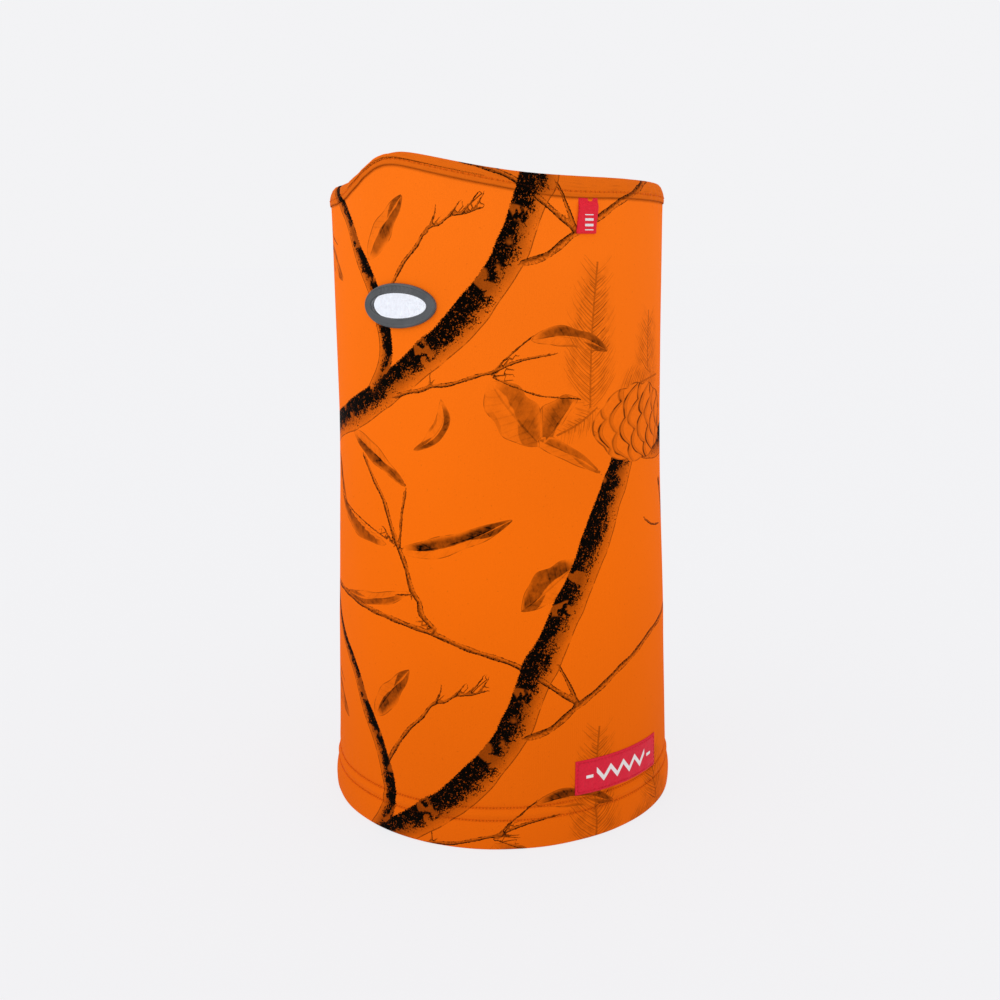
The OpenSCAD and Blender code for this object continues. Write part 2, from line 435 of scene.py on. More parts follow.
def repeats(u, z, low, high):
    """For each repeat of the tile: the cloth points inside a box, and where they are in its tile."""
    for across in (-TILE_W, 0, TILE_W):
        for up in (-TILE_H, 0, TILE_H):
            x, y = u - across, z - up
            inside = (x > low[0]) & (x < high[0]) & (y > low[1]) & (y < high[1])
            pick = np.flatnonzero(inside)
            if len(pick):
                yield pick, x[pick], y[pick]


def beside(u, z, line, margin):
    """For each repeat of a line: the points near it, how far to its left, how far along, and the share."""
    a, way = line[:-1], np.diff(line, axis=0)
    size = np.linalg.norm(way, axis=1)
    start = np.concatenate([[0], np.cumsum(size)[:-1]])
    for pick, x, y in repeats(u, z, line.min(0) - margin, line.max(0) + margin):
        off = np.stack([x, y], axis=1)[:, None] - a
        t = np.clip((off * way).sum(-1) / size**2, 0, 1)
        off = off - t[..., None] * way
        k = (off**2).sum(-1).argmin(1)
        row = np.arange(len(pick))
        off, t = off[row, k], t[row, k]
        left = way[k, 0] * off[:, 1] - way[k, 1] * off[:, 0]
        along = start[k] + t * size[k]
        signed = np.where(left < 0, -1, 1) * np.linalg.norm(off, axis=1)
        yield pick, signed, along, along / size.sum()


def ease(x):
    """A smooth step from 0 to 1."""
    x = np.clip(x, 0, 1)
    return x * x * (3 - 2 * x)


def side_shoots():
    """Short twigs that leave some of the twigs at a slant, on one side and then the other."""
    draw = np.random.default_rng(11)
    made = []
    for index, count, length in SHOOTS:
        line = spline(TWIGS[index][0])
        for k in range(count):
            at = int((0.3 + 0.66 * (k + 0.6 * draw.random()) / count) * (len(line) - 2))
            way = (line[at + 1] - line[at]) / np.linalg.norm(line[at + 1] - line[at])
            turn = (-1) ** k * math.radians(18 + 16 * draw.random())
            c, s = math.cos(turn), math.sin(turn)
            way = np.array([c * way[0] - s * way[1], s * way[0] + c * way[1]])
            reach = length * (0.5 + 0.7 * draw.random())
            bend = np.array([-way[1], way[0]]) * (-1) ** k * -0.12 * reach
            made.append(([line[at], line[at] + 0.55 * reach * way + bend * 0.6,
                          line[at] + reach * way], 0.5, 0.22))
    return made


def branch_layer(u, z):
    """Across, along and inside each thick branch."""
    across, along, inside = np.zeros(len(u)), np.zeros(len(u)), np.full(len(u), -4.0)
    for number, (points, first, last) in enumerate(BRANCHES):
        for pick, signed, s, f in beside(u, z, spline(points), first + 5):
            knot = np.sin(s / 9.0 + number) ** 8 * 0.9 + np.sin(s / 21.0 + 2 * number) ** 12 * 1.1
            half = first + (last - first) * f + knot * (0.6 if first > 4 else 0.3)
            inner = half - abs(signed)
            better = inner > inside[pick]
            at = pick[better]
            across[at], along[at], inside[at] = signed[better], s[better] + 300 * number, inner[better]
    return np.stack([across, along, inside], axis=1)


def twig_layer(u, z):
    """Across, along and half width of the nearest twig, and how far inside it each point is."""
    across, along, half = np.full(len(u), 9.0), np.zeros(len(u)), np.full(len(u), 0.1)
    inside = np.full(len(u), -4.0)
    for number, (points, first, last) in enumerate(TWIGS + side_shoots()):
        for pick, signed, s, f in beside(u, z, spline(points), 6):
            wide = (first + (last - first) * f) * (1 + 0.12 * np.sin(s / 1.9 + number))
            inner = wide - abs(signed)
            better = inner > inside[pick]
            at = pick[better]
            across[at], along[at] = signed[better], s[better] + 40 * number
            half[at], inside[at] = wide[better], inner[better]
    return np.stack([across, along, half], axis=1), inside


def leaf_layer(u, z):
    """Across, along with the leaf's number, and inside each leaf, and how dark its folds are."""
    across, along, inside = np.zeros(len(u)), np.zeros(len(u)), np.full(len(u), -4.0)
    tone = np.zeros(len(u))
    for number, (base, tip, left, right, bend, dark) in enumerate(LEAVES):
        base, tip = np.array(base, float), np.array(tip, float)
        way = tip - base
        side = np.array([-way[1], way[0]]) / np.linalg.norm(way)
        line = spline([base, base + 0.3 * way + bend * side, base + 0.7 * way + 0.8 * bend * side, tip])
        for pick, signed, s, f in beside(u, z, line, 16):
            wave = 1 + 0.1 * np.sin(7 * f + number) + 0.07 * np.sin(17 * f + 2 * number)
            full = np.sin(math.pi * np.clip(f, 0, 1) ** 0.85) ** 0.75 * wave
            half = np.where(signed > 0, left, right) * full + 0.02
            inner = half - abs(signed)
            q = np.clip(signed / np.maximum(half, 0.3), -1.6, 1.6)
            better = inner > inside[pick]
            at = pick[better]
            across[at], along[at] = q[better], 0.98 * f[better] + number
            inside[at], tone[at] = inner[better], dark
    return np.stack([across, along, inside], axis=1), tone


def sprig_layer(u, z):
    """Across, along and inside each pine sprig. Its needles grow forwards, so it ends in a fan."""
    out = np.tile((0.0, 0.0, -4.0), (len(u), 1))
    for number, (foot, tip, half) in enumerate(SPRIGS):
        foot, way = np.array(foot, float), np.array(tip, float) - foot
        long = np.linalg.norm(way)
        way /= long
        ends = np.array([foot, foot + way * long])
        for pick, x, y in repeats(u, z, ends.min(0) - half - 12, ends.max(0) + half + 12):
            x, y = x - foot[0], y - foot[1]
            along = x * way[0] + y * way[1]
            across = y * way[0] - x * way[1] - 1.2 * np.sin(math.pi * np.clip(along / long, 0, 1))
            far = abs(across)
            root = along - needle_rise(far)
            inner = np.minimum(half * (1 - 0.5 * np.clip(root / long, 0, 1) ** 2) - far, long - root)
            inner = np.minimum(inner, root)
            better = inner > out[pick, 2]
            place = np.stack([across, along + 97.3 * number, inner], axis=1)
            out[pick[better]] = place[better]
    return out


def needle_rise(far):
    """How far forward a needle reaches at that distance from its stem."""
    return far * 0.6 + far * far * 0.035


def cone_layer(u, z):
    """Place in the pine cone, and how far inside its outline."""
    out = np.tile((0.0, 0.0, -4.0), (len(u), 1))
    c, s = math.cos(CONE_TURN), math.sin(CONE_TURN)
    reach = np.array([CONE_LONG + 5, CONE_LONG + 5])
    for pick, x, y in repeats(u, z, CONE_AT - reach, CONE_AT + reach):
        x, y = x - CONE_AT[0], y - CONE_AT[1]
        x, y = c * x + s * y, c * y - s * x
        round_ = np.sqrt((x / CONE_LONG) ** 2 + (y / CONE_WIDE) ** 2)
        scallop = 1.3 * abs(np.sin(4.5 * np.arctan2(y, x)))
        out[pick] = np.stack([x, y, (1 - round_) * CONE_WIDE + scallop - 0.6], axis=1)
    return out


def store(piece, name, values):
    """Keeps one number or vector for each vertex, for the material to read."""
    kind = "FLOAT" if values.ndim == 1 else "FLOAT_VECTOR"
    field = "value" if values.ndim == 1 else "vector"
    attribute = piece.data.attributes.new(name, kind, "POINT")
    attribute.data.foreach_set(field, values.astype(np.float32).ravel())


def paint(piece):
    """Stores where each vertex lies in the printed pattern."""
    points = np.zeros(len(piece.data.vertices) * 3)
    piece.data.vertices.foreach_get("co", points)
    x, y, z = points.reshape(-1, 3).T
    angle = np.arctan2(x, -y)
    u, z = angle * TUBE_R / MM, z / MM
    store(piece, "branch", branch_layer(u, z))
    twig, inside = twig_layer(u, z)
    store(piece, "twig", twig)
    store(piece, "twig_inside", inside)
    leaf, tone = leaf_layer(u, z)
    store(piece, "leaf", leaf)
    store(piece, "leaf_tone", tone)
    store(piece, "sprig", sprig_layer(u, z))
    store(piece, "cone", cone_layer(u, z))
    store(piece, "rise", z - seam_at(angle) / MM)


# ---------------------------------------------------------------- materials


class Wire:
    """A socket that adds, multiplies and compares as a number does."""

    def __init__(self, tree, socket):
        self.tree = tree
        self.socket = socket

    def math(self, operation, *others, clamp=False):
        node = self.tree.nodes.new("ShaderNodeMath")
        node.operation = operation
        node.use_clamp = clamp
        for socket, value in zip(node.inputs, (self, *others)):
            plug(self.tree, value, socket)
        return Wire(self.tree, node.outputs[0])

    def __add__(self, other):
        return self.math("ADD", other)

    def __sub__(self, other):
        return self.math("SUBTRACT", other)

    def __mul__(self, other):
        return self.math("MULTIPLY", other)

    def __truediv__(self, other):
        return self.math("DIVIDE", other)

    def __neg__(self):
        return self * -1

    def __abs__(self):
        return self.math("ABSOLUTE")

    def less_from(self, number):
        """number minus this."""
        return self * -1 + number

    def rise(self, low, high):
        """0 below low, 1 above high, smooth between. low may be the greater, for a fall."""
        node = self.tree.nodes.new("ShaderNodeMapRange")
        node.interpolation_type = "SMOOTHSTEP"
        plug(self.tree, self, node.inputs["Value"])
        flip = low > high
        node.inputs["From Min"].default_value = min(low, high)
        node.inputs["From Max"].default_value = max(low, high)
        node.inputs["To Min"].default_value = 1.0 if flip else 0.0
        node.inputs["To Max"].default_value = 0.0 if flip else 1.0
        return Wire(self.tree, node.outputs["Result"])


def plug(tree, value, socket):
    """Links a wire to a socket, or sets the socket to a plain value."""
    if isinstance(value, Wire):
        tree.links.new(value.socket, socket)
    else:
        socket.default_value = value


class Paint:
    """One material, with short calls for its nodes."""

    def __init__(self, name, roughness, **values):
        self.material = bpy.data.materials.new(name)
        self.material.use_nodes = True
        self.tree = self.material.node_tree
        self.shader = self.tree.nodes["Principled BSDF"]
        self.shader.inputs["Roughness"].default_value = roughness
        for key, value in values.items():
            self.shader.inputs[key.replace("_", " ")].default_value = value
        place = self.tree.nodes.new("ShaderNodeTexCoord")
        self.place = Wire(self.tree, place.outputs["Object"])

    def node(self, kind, output, **inputs):
        node = self.tree.nodes.new(kind)
        for key, value in inputs.items():
            plug(self.tree, value, node.inputs[key.replace("_", " ")])
        return Wire(self.tree, node.outputs[output])

    def split(self, vector):
        node = self.tree.nodes.new("ShaderNodeSeparateXYZ")
        plug(self.tree, vector, node.inputs[0])
        return [Wire(self.tree, socket) for socket in node.outputs]

    def join(self, x, y, z=0.0):
        return self.node("ShaderNodeCombineXYZ", 0, X=x, Y=y, Z=z)

    def noise(self, scale, detail=2.0, vector=None, roughness=0.5):
        vector = self.place if vector is None else vector
        return self.node("ShaderNodeTexNoise", 0, Vector=vector, Scale=scale, Detail=detail,
                         Roughness=roughness)

    def attribute(self, name, output="Vector"):
        node = self.tree.nodes.new("ShaderNodeAttribute")
        node.attribute_name = name
        return Wire(self.tree, node.outputs[output])

    def mix(self, factor, first, second):
        node = self.tree.nodes.new("ShaderNodeMix")
        node.data_type = "RGBA"
        plug(self.tree, factor, node.inputs[0])
        plug(self.tree, first, node.inputs[6])
        plug(self.tree, second, node.inputs[7])
        return Wire(self.tree, node.outputs[2])

    def colour(self, colour):
        plug(self.tree, colour, self.shader.inputs["Base Color"])

    def roughness(self, value):
        plug(self.tree, value, self.shader.inputs["Roughness"])

    def bump(self, height, distance, strength=1.0):
        node = self.tree.nodes.new("ShaderNodeBump")
        node.inputs["Strength"].default_value = strength
        node.inputs["Distance"].default_value = distance
        plug(self.tree, height, node.inputs["Height"])
        self.tree.links.new(node.outputs[0], self.shader.inputs["Normal"])

    def cloth(self):
        """Arc round the tube and height, in millimetres, without a join but at the centre back."""
        x, y, z = self.split(self.place)
        arc = x.math("ARCTAN2", -y) * (TUBE_R / MM)
        return arc, z / MM


def rgb(red, green, blue):
    """A colour's sRGB values, 0 to 255, as linear RGBA."""
    line = [c / 255 for c in (red, green, blue)]
    return (*[c / 12.92 if c < 0.04045 else ((c + 0.055) / 1.055) ** 2.4 for c in line], 1.0)


# Painted shade: the orange is lit at the top and darkens towards the hem.
ORANGE_TOP = rgb(255, 118, 20)
ORANGE_MID = rgb(247, 110, 8)
ORANGE_LOW = rgb(224, 97, 6)
# Near-black of the print, also the colour of the painted shade in stitch holes and along the seams.
INK_AND_SHADE = rgb(5, 2, 0)


def branch_ink(p):
    """Black speckled bark on the upper side that fades to a shaded underside, with bare patches."""
    across, along, inside = p.split(p.attribute("branch"))
    half = inside + abs(across)
    q = across / half.math("MAXIMUM", 0.5)
    fine = p.noise(2.0, 2.0, p.join(across, along * 0.8), 0.6)
    speck = p.noise(1.15, 3.0, p.join(across, along * 0.9, 7.0), 0.7)
    coarse = p.noise(0.28, 2.0, p.join(across, along * 0.7, 3.0))
    slow = p.noise(0.06, 1.0, p.join(along, 9.0))
    ragged = q.rise(0.4, -0.7) * 2.0 + 0.3
    mask = (inside + (fine - 0.5) * ragged).rise(-0.1, 0.15)
    lean = q + (coarse - 0.5) * 1.5 + (slow - 0.5) * 1.1
    tone = lean.rise(1.1, -0.45) * 1.05 - 0.02
    clump = p.noise(0.42, 2.0, p.join(across, along * 0.8, 21.0)).rise(0.38, 0.62)
    dark = tone + (speck - 0.5) * (clump * 2.8 + 1.2) + (fine - 0.5) * 1.1
    bark = dark.rise(0.3, 0.78)
    brown = q.rise(1.15, -0.2) * 0.48 + 0.15 + (fine - 0.5) * 0.35 + (coarse - 0.5) * 0.25
    patch = p.noise(0.085, 1.0, p.join(across * 0.7, along, 3.0)).rise(0.6, 0.66) * coarse.rise(0.4, 0.5)
    bark = bark * (patch * 0.85).less_from(1.0)
    edge = (inside + (fine - 0.5) * 0.8).rise(0.75, 0.2) * 0.72
    rim = edge * (q.rise(0.2, 0.5) + q.rise(-0.4, -0.7) * 0.7) * coarse.rise(0.3, 0.45)
    return bark.math("MAXIMUM", brown).math("MAXIMUM", rim) * mask


def twig_ink(p):
    """A rough twig: speckled all over, with broken dark edges."""
    across, along, half = p.split(p.attribute("twig"))
    near = p.attribute("twig_inside", "Fac").rise(-1.6, -1.1)
    rough = p.noise(1.0, 3.0, p.join(across, along * 0.9), 0.7)
    part = p.noise(0.3, 1.0, p.join(0.0, along, 5.0))
    inside = half - abs(across) + (rough - 0.5) * 0.9
    mask = inside.rise(-0.1, 0.12) * near
    edge = inside.rise(0.5, 0.1) * (part.rise(0.35, 0.6) * 0.5 + 0.1)
    lower = (across / half + (part - 0.5) * 2.0 + (rough - 0.5) * 2.5).rise(0.2, -0.4) * 0.5
    dots = (rough + (part - 0.5) * 0.3).rise(0.49, 0.56) * 0.45
    return mask * (edge + lower + dots + 0.14)


def leaf_ink(p):
    """A dry leaf folded along its rib: one side shaded, the other pale with a dark turned tip."""
    q, along, inside = p.split(p.attribute("leaf"))
    tone = p.attribute("leaf_tone", "Fac")
    number = along.math("FLOOR")
    f = along - number
    grain = p.noise(700, 3.0)
    cloud = p.noise(150, 2.0)
    side = q * tone.math("SIGN")
    bent = side + (f * 5.2 + number * 1.7).math("SINE") * 0.22 + (cloud - 0.5) * 0.3
    fold = bent.rise(-0.03, 0.05) * bent.rise(1.25, 0.6) * f.rise(0.03, 0.2) * f.rise(1.0, 0.86)
    turned = f - 0.56 + side * 0.25
    wedge = turned.rise(0.0, 0.03) * side.rise(-0.05, -0.12) * 0.85
    hem = (bent + 0.85).rise(0.0, -0.12) * f.rise(0.2, 0.35) * f.rise(0.62, 0.5) * 0.5
    dark = fold.math("MAXIMUM", wedge).math("MAXIMUM", hem)
    shade = dark * abs(tone) * (cloud * 0.8 + 0.6) * (grain * 0.5 + 0.75)
    pale = cloud.rise(0.35, 0.75) * 0.12 + (grain - 0.5) * 0.14 + 0.02
    vein = (f * 70.0 + abs(q) * 7.0).math("SINE").rise(0.5, 1.0) * 0.09 * cloud.rise(0.35, 0.6)
    outline = inside.rise(0.55, 0.2) * (cloud.rise(0.38, 0.58) * 0.5 + 0.06)
    rib = abs(q).rise(0.08, 0.02) * 0.2 * cloud.rise(0.3, 0.5)
    return inside.rise(-0.12, 0.08) * (shade + pale + rib + vein).math("MAXIMUM", outline)


def sprig_ink(p):
    """Thin curved needles on both sides of a dotted stem, uneven in length and weight."""
    across, along, inside = p.split(p.attribute("sprig"))
    far = abs(across)
    half = across.math("SIGN") * 0.27
    root = along - far * 0.6 - far * far * 0.035
    drift = (p.noise(0.16, 2.0, p.join(across, along, 4.0)) - 0.5) * 2.2
    ink = 0.0
    for pitch, weight, slip in ((1.7, 1.0, 0.0), (2.6, 0.8, 17.0)):
        phase = (root + drift * far * 0.12 + slip) / pitch + half
        row = phase.math("FLOOR")
        draw = p.node("ShaderNodeTexWhiteNoise", 0, Vector=p.join(row, across.math("SIGN"), slip))
        off = abs(phase - row - 0.5) * pitch
        reach = (inside - draw * 7.0).rise(0.0, 1.0)
        ink = off.rise(0.38, 0.1) * reach * (draw * 0.26 + 0.16) * weight + ink
    haze = inside.rise(0.0, 7.0) * p.noise(240, 2.0).rise(0.3, 0.7) * 0.17
    dots = p.noise(0.9, 2.0, p.join(0.0, along))
    stem = (far - dots * 0.6).rise(0.32, 0.05) * (dots * 0.5 + 0.2)
    return (ink + haze).math("MAXIMUM", stem) * inside.rise(-0.1, 0.4)


def cone_ink(p):
    """Rows of overlapping scales, each with a curved edge, pale at the rim and dark behind."""
    x, y, inside = p.split(p.attribute("cone"))
    wob = (p.noise(70, 1.0) - 0.5) * 5.0
    row = (x + 60.0 - y * y * 0.03 + wob) / 6.4
    number = row.math("FLOOR")
    deep = row - number
    shift = (number / 2.0).math("FRACT")
    cell = ((y + wob) / 13.0 + shift + 20.25).math("FRACT") - 0.5
    arc = deep - cell * cell * 2.6 - 0.12
    weight = p.noise(160, 1.0).rise(0.35, 0.6) * 0.5 + 0.15
    line = abs(arc).rise(0.13, 0.04) * weight
    shade = arc.rise(0.5, 0.0) * arc.rise(-0.04, 0.04) * 0.3
    inner = abs(arc - 0.36).rise(0.06, 0.0) * weight * 0.5
    rim = inside.rise(0.8, 0.3) * weight
    grain = (p.noise(500, 2.0) - 0.5) * 0.16 + 0.05
    return (line + shade + inner + grain).math("MAXIMUM", rim)


def printed_ink(p):
    """All the layers of the print as one darkness, 0 to 1."""
    cone = p.split(p.attribute("cone"))[2].rise(-0.1, 0.1)
    ink = leaf_ink(p)
    for layer in (sprig_ink, twig_ink, branch_ink):
        ink = ink.math("MAXIMUM", layer(p))
    ink = ink * cone.less_from(1.0) + cone_ink(p) * cone
    speck = p.noise(950, 1.0).rise(0.71, 0.76) * 0.12
    return ink.math("ADD", speck, clamp=True)


def knit_bump(p, strength=1.0):
    """The fine wales and courses of jersey, with slight fuzz."""
    arc, high = p.cloth()
    wale = (arc * (TURN / 0.95)).math("SINE")
    course = (high * (TURN / 0.75) + wale * 0.8).math("SINE")
    fuzz = p.noise(1500, 2.0)
    p.bump(wale * 0.35 + course * 0.22 + fuzz * 1.3, 0.05 * MM, 0.55 * strength)


def printed_cloth(name, shade=1.0):
    """Orange printed jersey, with painted shade that darkens it towards the hem. shade darkens the whole
    cloth, as painted shade.
    """
    p = Paint(name, 0.85, Specular_IOR_Level=0.03)
    ink = printed_ink(p)
    cloud = p.noise(14, 3.0)
    weave = p.noise(1100, 2.0)
    height = p.split(p.place)[2]
    # Painted shade: darker towards the hem, and darker all over where shade is below 1.
    tones = [(*[c * shade for c in tone[:3]], 1) for tone in (ORANGE_LOW, ORANGE_MID, ORANGE_TOP)]
    ground = p.mix(height.rise(-0.02, 0.15), tones[0], tones[1])
    ground = p.mix(height.rise(0.1, 0.3), ground, tones[2])
    dull = p.mix(0.12, ground, INK_AND_SHADE)
    return p, p.mix(cloud.rise(0.35, 0.7) * 0.25 + weave * 0.35, ground, dull), ink


def hem_cloth():
    """The tube's outer face, with painted shade in a hole at every stitch of the hem and along the seam
    under the binding.
    """
    p, ground, ink = printed_cloth("printed_knit")
    arc, high = p.cloth()
    pitch = TURN * TUBE_R / MM / STITCHES
    cell = ((arc / pitch + 0.5).math("FRACT") - 0.5) * pitch
    # Painted shade in the needle holes and along both needle rows.
    stitch_hole_shade = None
    for row in (ROW_LOW / MM, ROW_UP / MM):
        off = high - row
        far = (cell * cell + off * off).math("SQRT")
        line = abs(off).rise(0.9, 0.1) * 0.05
        spot = (far.rise(0.7, 0.2) * 0.3).math("MAXIMUM", line)
        stitch_hole_shade = spot if stitch_hole_shade is None else stitch_hole_shade.math("MAXIMUM", spot)
    rise = p.attribute("rise", "Fac")
    # Painted shadow along the seam under the binding.
    seam_shade = abs(rise).rise(1.3, 0.1) * 0.35
    shadow = stitch_hole_shade.math("MAXIMUM", seam_shade)
    p.colour(p.mix(ink.math("MAXIMUM", shadow), ground, INK_AND_SHADE))
    knit_bump(p)
    return p.material


def binding_cloth():
    """The binding's cloth, darkened all over as painted shade, with painted shade in a row of needle holes
    above the seam and just above the seam itself.
    """
    # Painted shade: the binding is the same print, darkened all over.
    p, ground, ink = printed_cloth("binding_knit", 0.77)
    arc, high = p.cloth()
    rise = p.attribute("rise", "Fac")
    cell = ((arc / 2.3).math("FRACT") - 0.5) * 2.3
    off = rise - 2.45
    far = (cell * cell + off * off).math("SQRT")
    # Painted shade in the needle holes above the seam, and just above the seam.
    hole = far.rise(0.6, 0.2) * 0.35
    seam_shade = rise.rise(0.8, 0.0) * 0.45
    streak = p.noise(1.0, 3.0, p.join(arc * 0.12, rise * 1.3)).rise(0.5, 0.75) * 0.16
    shadow = hole.math("MAXIMUM", seam_shade) + streak
    p.colour(p.mix(ink.math("MAXIMUM", shadow), ground, INK_AND_SHADE))
    knit_bump(p, 1.2)
    return p.material


def brushed_cloth():
    """The white brushed back of the knit."""
    p = Paint("brushed_back", 0.95, Sheen_Weight=0.35, Sheen_Roughness=0.6)
    nap = p.noise(420, 4.0)
    p.colour(p.mix(nap.rise(0.25, 0.75), rgb(232, 235, 240), rgb(243, 247, 252)))
    p.bump(nap + p.noise(1600, 2.0) * 0.5, 0.25 * MM, 0.8)
    return p.material


def rubber():
    """Matt moulded grey rubber with a fine spark-eroded grain."""
    p = Paint("ring_rubber", 0.5, Specular_IOR_Level=0.3)
    grain = p.noise(1900, 2.0)
    cloud = p.noise(120, 3.0)
    p.colour(p.mix(cloud.rise(0.3, 0.7), rgb(72, 74, 77), rgb(86, 88, 91)))
    p.roughness(grain * 0.25 + 0.36)
    p.bump(grain, 0.03 * MM, 0.6)
    return p.material


def thread(name, low, high, shine=0.4, printed=False):
    """Twisted thread, between two colours, that carries the cloth's print or not."""
    p = Paint(name, 0.55, Specular_IOR_Level=shine)
    x, y, z = p.split(p.place)
    twist = ((x + y * 0.7 + z * 1.6) * (TURN / (0.42 * MM))).math("SINE")
    tint = p.mix(twist * 0.3 + p.noise(500, 2.0), low, high)
    p.colour(p.mix(printed_ink(p) * 0.95, tint, INK_AND_SHADE) if printed else tint)
    p.bump(twist, 0.04 * MM, 0.8)
    return p.material


def woven(name, ground, shade, marks):
    """A woven label: fine ribs of weft and white marks, placed by the label's own u and v, with painted
    shade along its turned edges.
    """
    p = Paint(name, 0.62, Specular_IOR_Level=0.2)
    u, v, edge = p.split(p.attribute("label"))
    weft = (v * (TURN / 0.42)).math("SINE")
    warp = (u * (TURN / 0.5)).math("SINE")
    cloth = p.mix(weft * 0.22 + warp * 0.12 + p.noise(900, 2.0), shade, ground)
    white = p.mix(weft * 0.3 + 0.6, rgb(205, 190, 190), rgb(252, 250, 248))
    mark = marks(p, u + warp * 0.05, v)
    # Painted shade along the label's turned edges.
    fold = edge.rise(0.5, 0.0) * 0.35
    cloth = p.mix(mark, cloth, white)
    p.colour(p.mix(fold, cloth, shade))
    p.bump(weft + warp * 0.6 + mark * 1.5, 0.05 * MM, 0.9)
    return p.material


def bars(p, u, v):
    """Four short plain bars across the middle of the label."""
    inside = abs(u).rise(2.15, 1.95)
    row = abs(((v + 9.7) / 2.2).math("FRACT") - 0.5).rise(0.26, 0.2)
    tall = abs(v + 7.5).rise(3.25, 3.15)
    return inside * row * tall


def ridge(p, u, v):
    """A plain zigzag line, like a row of hills, between two short rules."""
    fold = abs((u / 8.0 + 50.0).math("FRACT") - 0.5)
    hill = abs(v + 2.4 - fold * 9.6).rise(1.45, 1.2)
    long = abs(u).rise(16.1, 15.9)
    rule = abs(v).rise(0.8, 0.62) * (abs(abs(u) - 19.6).rise(1.9, 1.7))
    return (hill * long).math("MAXIMUM", rule)


def satin():
    """White satin ribbon."""
    p = Paint("care_satin", 0.32, Sheen_Weight=0.15, Anisotropic=0.4)
    x, y, z = p.split(p.place)
    rib = (z * (TURN / (0.5 * MM))).math("SINE")
    p.colour(p.mix(rib * 0.2 + p.noise(300, 2.0), rgb(228, 228, 226), rgb(249, 249, 247)))
    p.bump(rib, 0.03 * MM, 0.5)
    return p.material


# ---------------------------------------------------------------- the tube and its hem

FOLD = 1.1 * MM  # height at which the hem starts to turn under
FOLD_IN = 0.8 * MM  # how far in the bottom of the fold lies
COARSE = 375
FINE = 2 * COARSE
INNER = 125


def tube_row(columns, height, out=0.0):
    """A ring of points at that height, which follows the seam's wave towards the top."""
    a = around(columns)
    share = np.clip(height / SEAM_LOW, 0, None) ** 5
    z = height + share * (seam_at(a) - SEAM_LOW)
    return skin(a, z, out)


def build_tube(cloth, lining):
    """The knit tube as a closed sheet: printed outside, brushed inside, folded under at the hem."""
    rows = []
    a = around(COARSE)
    for step in np.linspace(0, 1, 6)[:-1]:
        turn = step * math.pi / 2
        ring = skin(a, np.full(COARSE, FOLD), FOLD_IN * (math.sin(turn) - 1))
        ring[:, 2] = FOLD * (1 - math.cos(turn))
        rows.append(ring)
    rows += [tube_row(COARSE, z) for z in np.arange(FOLD, 11.8 * MM, 1.4 * MM)]
    rows += [tube_row(FINE, z) for z in np.linspace(11.9 * MM, HEM_TOP, 19)]
    top = SEAM_LOW + 3.5 * MM
    rows += [tube_row(COARSE, z) for z in np.linspace(HEM_TOP + 1.2 * MM, top, 186)]
    outer = sum(len(ring) for ring in rows)
    rows += [tube_row(INNER, z, -FABRIC) for z in np.linspace(top, 1.0 * MM, 64)]
    points, faces = lathe(rows)
    tube = new_piece("tube_fabric", points, faces, [cloth, lining])
    inner = [int(all(corner >= outer for corner in face)) for face in faces]
    tube.data.polygons.foreach_set("material_index", inner)
    face_outwards(tube)
    cut_hole(tube)
    paint(tube)
    sew_on(tube, "tube_shell", "printed_knit")
    return tube


def oval(a, b, count):
    """Points x, z of an oval round the ring's centre."""
    t = TURN * np.arange(count) / count
    return a * np.cos(t), RING_Z + b * np.sin(t)


RING_LOW, RING_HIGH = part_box("breathing_ring_front")
RING_Z = (RING_LOW.z + RING_HIGH.z) / 2
RING_A = (RING_HIGH.x - RING_LOW.x) / 2
RING_B = (RING_HIGH.z - RING_LOW.z) / 2
RING_COLUMNS = 480
RING_PROUD = -RING_LOW.y - TUBE_R
HOLE_IN = 2.4 * MM  # the fabric's hole is this much smaller than the ring


def cut_hole(tube):
    """Cuts the breathing hole out of the sheet."""
    x, z = oval(RING_A - HOLE_IN, RING_B - HOLE_IN + 0.3 * MM, 96)
    near = np.stack([x, np.full(96, -0.1), z], axis=1)
    far = np.stack([x, np.full(96, -0.05), z], axis=1)
    points, faces = lathe([near, far], closed=False)
    faces += [tuple(range(95, -1, -1)), tuple(range(96, 192))]
    cutter = new_piece("cutter", points, faces, [])
    face_outwards(cutter)
    cut = tube.modifiers.new("hole", "BOOLEAN")
    cut.object = cutter
    cut.operation = "DIFFERENCE"
    cut.solver = "EXACT"
    bpy.context.view_layer.update()
    shown = tube.evaluated_get(bpy.context.evaluated_depsgraph_get())
    mesh = bpy.data.meshes.new_from_object(shown)
    tube.modifiers.remove(cut)
    tube.data = mesh
    bpy.data.objects.remove(cutter)


def build_hem(cloth):
    """The turned-up ply inside the hem, which shows the printed face."""
    a = around(COARSE)
    r = -FABRIC - 0.1 * MM
    outer = [skin(a, np.full(COARSE, z), r, True) for z in np.linspace(2.2 * MM, HEM_TOP, 12)]
    ply = 1.4 * MM
    inner = []
    for z in np.linspace(HEM_TOP, FOLD, 24):
        inner.append(skin(a, np.full(COARSE, z), r - ply, True))
        inner[-1] -= (inner[-1] * (1, 1, 0)) * (dimples(a, inner[-1][:, 2]) / TUBE_R)[:, None]
    under = []
    for step in np.linspace(0, 1, 6)[1:]:
        turn = step * math.pi / 2
        inwards = r - ply + (FOLD_IN + 0.1 * MM) * (1 - math.cos(turn))
        ring = skin(a, np.full(COARSE, FOLD), inwards, True)
        ring[:, 2] = FOLD * (1 - math.sin(turn)) + 0.01 * MM
        under.append(ring)
    points, faces = lathe(outer + inner + under)
    hem = new_piece("hem_turned_ply", points, faces, [cloth])
    face_outwards(hem)
    paint(hem)
    sew_on(hem, "hem_turn_up", "hem_knit")


